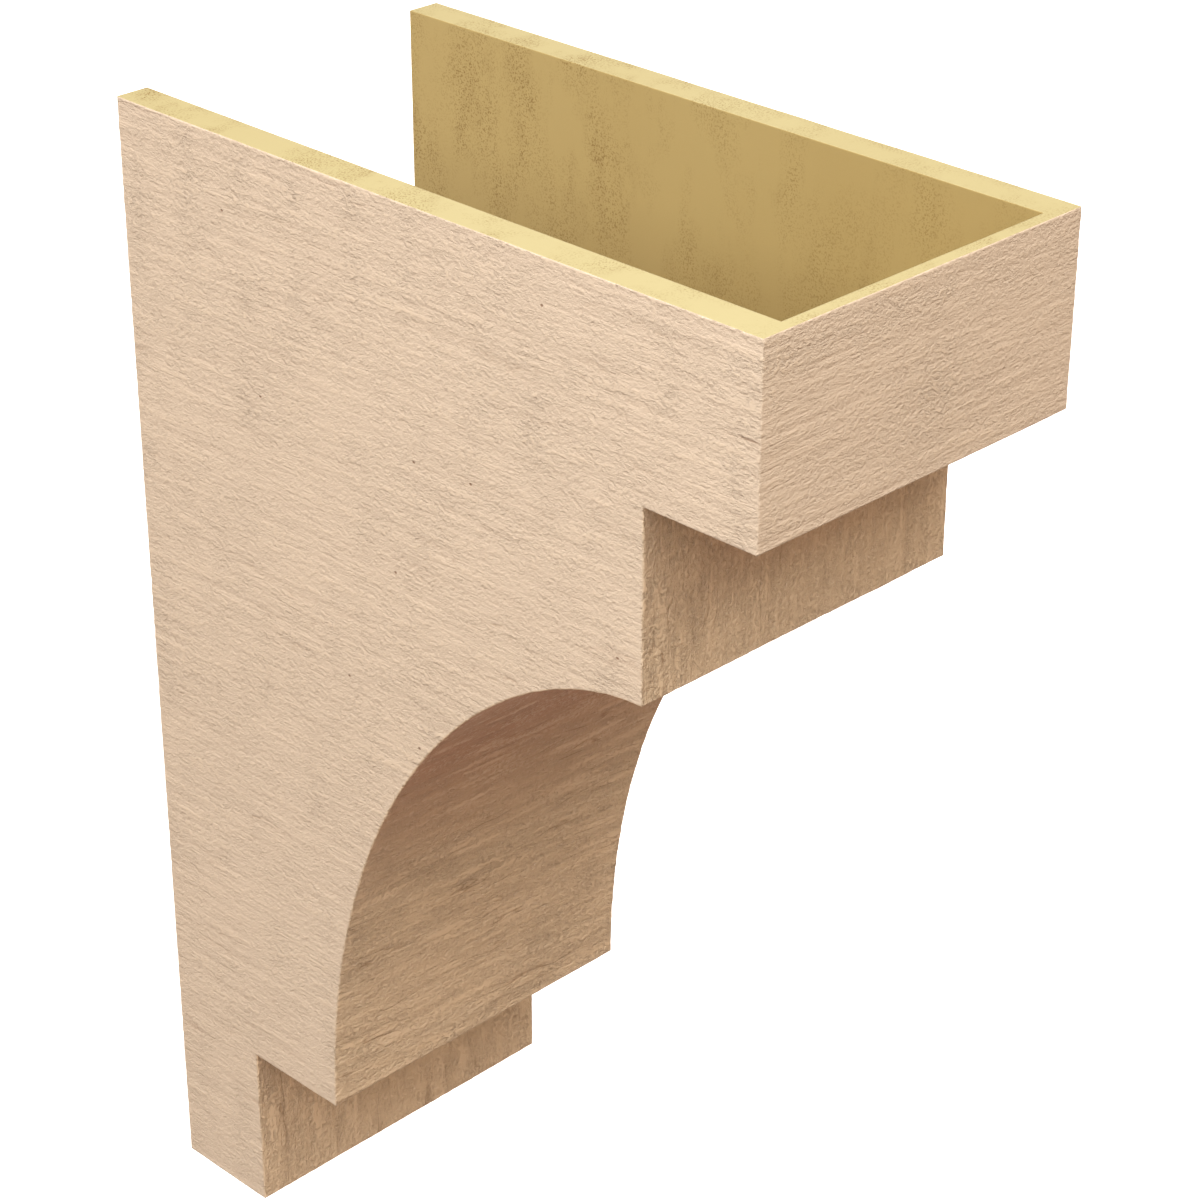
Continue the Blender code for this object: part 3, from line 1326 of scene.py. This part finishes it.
@dataclass(frozen=True)
class Primer:
    """The tan primer on the sawn outside, with painted highlights on its crests, painted shadow in its
    hollows, grooves, pits and cracks, and painted shadow and warm bounce light under the overhangs.
    """

    base: Colour = srgb(208, 187, 164)
    # Painted highlight on the crests of the relief.
    crest_highlight: Colour = srgb(224, 201, 173)
    # Painted shadow in the hollows of the relief.
    deep: Colour = srgb(193, 164, 135)
    # Yellow-brown tint of the painted warm bounce light on the cove, the riser and the foot.
    painted_bounce_ochre: Colour = srgb(224, 198, 165)
    # Brown of the painted shadow under the overhangs.
    brown: Colour = srgb(175, 122, 92)
    # Painted shadow in the saw grooves.
    groove_shade: Colour = srgb(150, 108, 74)
    # Painted shadow inside the pits and cracks.
    pit: Colour = srgb(118, 80, 54)
    roughness: float = 0.82
    gloss: float = 0.25
    bump: float = 0.35 * MM
    mottle: Layer = Layer(9.0, 14.0, 3.0, 3.0, 0.5)
    grit: Layer = Layer(330.0, 430.0, 17.0, 3.0, 0.7)
    bursts: Layer = Layer(75.0, 150.0, 19.0, 2.0, 0.5)
    lines: Layer = Layer(14.0, 165.0, 11.0, 4.0, 0.64)
    splits: Layer = Layer(11.0, 85.0, 41.0, 5.0, 0.62)
    hatch: Layer = Layer(330.0, 45.0, 23.0, 2.0, 0.55)
    groove_drift: Layer = Layer(9.0, 40.0, 3.0, 3.0, 0.55)
    groove_breaks: Layer = Layer(16.0, 70.0, 29.0, 3.0, 0.6)
    grooves_per_metre: float = 120.0
    groove_share: float = 0.11

    def make(self) -> bpy.types.Material:
        """Build the material.

        Returns:
            The material.
        """
        finish = Finish("tan_primer")
        grain = finish.attribute("grain", "Vector")
        scoring = finish.attribute("scoring", "Fac")
        marks = self.marks(finish, grain)
        grooves = self.grooves(finish, grain) * scoring
        height = self.height(finish, grain, scoring) - grooves * 0.6 - marks * 1.5
        mottle = (finish.layer(grain, self.mottle) - 0.5) * 0.15
        # Painted light and shadow on the relief: lighter on high grit, saw lines and mesh ridges, darker low
        # down, over the paint's own random mottle.
        shade = height * 0.24 + finish.attribute("relief", "Fac") * 0.6 + mottle + 0.5
        # The painted warm bounce light and painted shadow under the overhangs, as written on the points.
        tone = finish.attribute("shade", "Fac")
        ground = finish.blend(tone.ramp(0.0, PAINTED_BOUNCE), self.base, self.painted_bounce_ochre)
        ground = finish.blend(tone.ramp(PAINTED_BOUNCE, 1.0), ground, self.brown)
        # Painted highlight on the crests.
        ground = finish.blend(shade.ramp(0.5, 1.1) * 0.9, ground, self.crest_highlight)
        # Painted shadow in the hollows.
        ground = finish.blend(0.6 - shade.ramp(-0.4, 0.45) * 0.6, ground, self.deep)
        # Painted shadow in the saw grooves.
        ground = finish.blend((grooves * 0.3 - 0.1).clamped(), ground, self.groove_shade)
        # Painted shadow inside the pits and cracks.
        finish.coat(finish.blend(marks, ground, self.pit), self.roughness, self.gloss)
        finish.bump(height, self.bump)
        return finish.material

    def grooves(self, finish: Finish, grain: Signal) -> Signal:
        """Thin broken grooves along the grain.

        Args:
            finish: the material.
            grain: where a point lies along and across the grain.

        Returns:
            1 in a groove, 0 elsewhere.
        """
        across = finish.node("ShaderNodeSeparateXYZ", {}, {0: grain}, "Y")
        drift = finish.layer(grain, self.groove_drift) * 6.0
        kept = finish.layer(grain, self.groove_breaks).ramp(0.47, 0.60)
        beside = ((across * self.grooves_per_metre + drift).math("FRACT") - 0.5).math("ABSOLUTE")
        return (1.0 - beside.ramp(0.0, self.groove_share)) * kept

    def height(self, finish: Finish, grain: Signal, scoring: Signal) -> Signal:
        """The grit and the saw lines.

        Args:
            finish: the material.
            grain: where a point lies along and across the grain.
            scoring: how deep the saw lines are.

        Returns:
            The height, in units of the bump's distance, cut off softly at the top.
        """
        vigour = finish.attribute("vigour", "Fac")
        bursts = finish.layer(grain, self.bursts).ramp(0.33, 0.66)
        rough = (finish.layer(grain, self.grit) - 0.5) * (bursts * 0.7 + 0.6) * 5.6
        lines = finish.layer(grain, self.lines) - 0.5
        split = (finish.layer(grain, self.splits) - 0.5).math("ABSOLUTE")
        hatch = finish.layer(grain, self.hatch) - 0.5
        scored = lines * 4.4 + (split - 0.08) * 3.4 + hatch * 0.8
        return (rough * vigour + scored * scoring).math("SMOOTH_MIN", 0.75, 0.6)

    def marks(self, finish: Finish, grain: Signal) -> Signal:
        """The small pits and cracks in the paint.

        Args:
            finish: the material.
            grain: where a point lies along and across the grain.

        Returns:
            Each mark's depth inside it, 0 elsewhere.
        """
        total: Any = 0.0
        for mark in MARKS:
            sizes = (1 / mark.length, 1 / mark.width, PANELS_APART)
            centre = (mark.along / mark.length, mark.across / mark.width, PANELS_APART * mark.seed)
            away = finish.vector("DISTANCE", finish.vector("MULTIPLY", grain, sizes), centre, "Value")
            total = total + (1.0 - away.ramp(0.5, 1.0)) * mark.depth
        return total


@dataclass(frozen=True)
class BareFoam:
    """The bare yellow foam, with its brown stains."""

    name: str
    base: Colour
    warm: Colour
    stain: Colour
    stained: float
    roughness: float = 0.7
    gloss: float = 0.3
    bump: float = 0.08 * MM
    streak: Triple = (1.0, 1.0, 0.4)

    def make(self) -> bpy.types.Material:
        """Build the material.

        Returns:
            The material.
        """
        finish = Finish(self.name)
        where = finish.node("ShaderNodeTexCoord", {}, {}, "Object")
        streaked = finish.vector("MULTIPLY", where, self.streak)
        to_wall = finish.node("ShaderNodeSeparateXYZ", {}, {0: where}, "Y").ramp(-0.55, -0.10)
        clusters = finish.noise(streaked, 34.0, 3.0, 0.6).ramp(0.44, 0.64) * (to_wall * 0.6 + 0.4)
        specks = finish.noise(where, 1000.0, 2.0, 0.6).ramp(0.52, 0.62)
        smudge = finish.noise(streaked, 90.0, 4.0, 0.65).ramp(0.48, 0.78)
        tone = finish.noise(streaked, 8.0, 2.0, 0.5).ramp(0.3, 0.7)
        ground = finish.blend(tone, self.base, self.warm)
        marks = (clusters * specks * 0.7 + clusters * smudge * 0.3) * self.stained
        finish.coat(finish.blend(marks.clamped(), ground, self.stain), self.roughness, self.gloss)
        finish.bump(finish.noise(where, 900.0, 2.0, 0.6), self.bump)
        return finish.material


CUT_FOAM = BareFoam("cut_foam", srgb(177, 165, 121), srgb(173, 160, 115), srgb(122, 94, 40), 1.25)
INNER_FOAM = BareFoam("inner_foam", srgb(180, 157, 101), srgb(175, 151, 95), srgb(120, 90, 38), 0.9)


@dataclass(frozen=True)
class FloorWhite:
    """The floor's plain white, which shines a little by itself."""

    base: Colour = (0.93, 0.93, 0.93, 1.0)
    roughness: float = 0.9
    glow: Colour = (1.0, 1.0, 1.0, 1.0)
    strength: float = 0.6

    def make(self) -> bpy.types.Material:
        """Build the material.

        Returns:
            The material.
        """
        finish = Finish("floor_white")
        finish.coat(self.base, self.roughness, 0.0)
        finish.set("Emission Color", self.glow)
        finish.set("Emission Strength", self.strength)
        return finish.material


@dataclass(frozen=True)
class Lobe:
    """A soft patch of light in the surroundings.

    Attributes:
        toward: where the patch lies, seen from the corbel.
        sharpness: how narrow it is.
        colour: its red, green and blue strength.
    """

    toward: Triple
    sharpness: float
    colour: Triple


LOBES = (
    Lobe((0.0, 0.0, 1.0), 8.0, (2.60, 2.61, 2.62)),
    Lobe((-1.0, 0.0, 0.0), 2.0, (0.29, 0.39, 0.46)),
    Lobe((1.0, 0.0, 0.0), 2.0, (0.50, 0.50, 0.50)),
    Lobe((0.0, 1.0, 0.0), 2.0, (0.78, 0.84, 0.87)),
    Lobe((-1.0, -1.0, 1.2), 16.0, (2.10, 2.09, 2.05)),
    Lobe((0.0, -1.0, 1.0), 8.0, (0.78, 0.72, 0.67)),
    Lobe((0.0, -1.0, 2.2), 24.0, (3.61, 3.62, 3.62)),
)


@dataclass(frozen=True)
class Lamp:
    """A square soft lamp, aimed at the corbel."""

    name: str
    place: Triple
    size: float
    power: float
    colour: Triple


LAMPS = (
    Lamp("left_lamp", (-1.3, -0.4, 1.4), 0.8, 15.0, (0.94, 0.97, 1.0)),
    Lamp("front_lamp", (-0.2, -1.0, 1.4), 0.6, 4.3, (0.85, 0.97, 1.0)),
)


@dataclass
class Studio:
    """The floor, the soft light and the camera."""

    camera_place: Triple = (-0.9737, -1.1781, 1.1033)
    azimuth: float = 44.93
    elevation: float = -28.18
    lens: float = 97.32
    shift: tuple[float, float] = (0.0133, 0.02)
    aim: Triple = (0.0, -0.2, 0.3)
    floor_drop: float = 0.35
    floor_size: float = 60.0
    everywhere: Triple = (0.29, 0.156, 0.057)

    def build(self) -> None:
        """Set up the view, the world and the floor."""
        bpy.context.scene.view_settings.view_transform = "Standard"
        self.add_camera()
        self.add_world()
        self.add_lamps()
        self.add_floor()

    def add_camera(self) -> None:
        """Put the camera where the photograph was taken from."""
        data = bpy.data.cameras.new("camera")
        data.lens = self.lens
        data.shift_x, data.shift_y = self.shift
        camera = bpy.data.objects.new("camera", data)
        turn, tilt = math.radians(self.azimuth), math.radians(self.elevation)
        level = math.cos(tilt)
        look = Vector((level * math.cos(turn), level * math.sin(turn), math.sin(tilt)))
        camera.location = self.camera_place
        camera.rotation_euler = look.to_track_quat("-Z", "Y").to_euler()
        bpy.context.scene.collection.objects.link(camera)
        bpy.context.scene.camera = camera

    def add_world(self) -> None:
        """Surround the corbel with soft patches of light."""
        world = bpy.data.worlds.new("studio")
        bpy.context.scene.world = world
        world.use_nodes = True
        nodes = Nodes(world.node_tree)
        way = nodes.node("ShaderNodeTexCoord", {}, {}, "Generated")
        light: Any = self.everywhere
        for lobe in LOBES:
            toward = tuple(Vector(lobe.toward).normalized())
            facing = nodes.vector("DOT_PRODUCT", way, toward, "Value")
            share = facing.math("MAXIMUM", 0.0).math("POWER", lobe.sharpness)
            light = nodes.vector("ADD", nodes.scaled(lobe.colour, share), light)
        world.node_tree.links.new(light.socket, world.node_tree.nodes["Background"].inputs["Color"])

    def add_lamps(self) -> None:
        """Hang the two soft lamps."""
        for lamp in LAMPS:
            data = bpy.data.lights.new(lamp.name, "AREA")
            data.shape = "SQUARE"
            data.size = lamp.size
            data.energy = lamp.power
            data.color = lamp.colour
            light = bpy.data.objects.new(lamp.name, data)
            light.location = lamp.place
            look = Vector(self.aim) - light.location
            light.rotation_euler = look.to_track_quat("-Z", "Y").to_euler()
            bpy.context.scene.collection.objects.link(light)

    def add_floor(self) -> None:
        """A plain white floor, some way under the corbel, which hangs from its wall."""
        place = (0.0, 0.0, cad_box[0].z - self.floor_drop)
        bpy.ops.mesh.primitive_plane_add(size=self.floor_size, location=place)
        floor = bpy.context.object
        floor.name = "floor"
        floor.data.materials.append(FloorWhite().make())
        floor.visible_diffuse = False


def main() -> None:
    """Build the corbel and the studio."""
    logging.basicConfig(level=logging.INFO, format="%(name)s: %(message)s")
    shell = CorbelShell().build()
    for finish in (Primer(), CUT_FOAM, INNER_FOAM):
        shell.data.materials.append(finish.make())
    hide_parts(NODE)
    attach(shell, BODY)
    triangles = sum(face.loop_total - 2 for face in shell.data.polygons)
    log.info("%s: %d points, %d triangles", shell.name, len(shell.data.vertices), triangles)
    Studio().build()


if __name__ == "__main__":
    main()
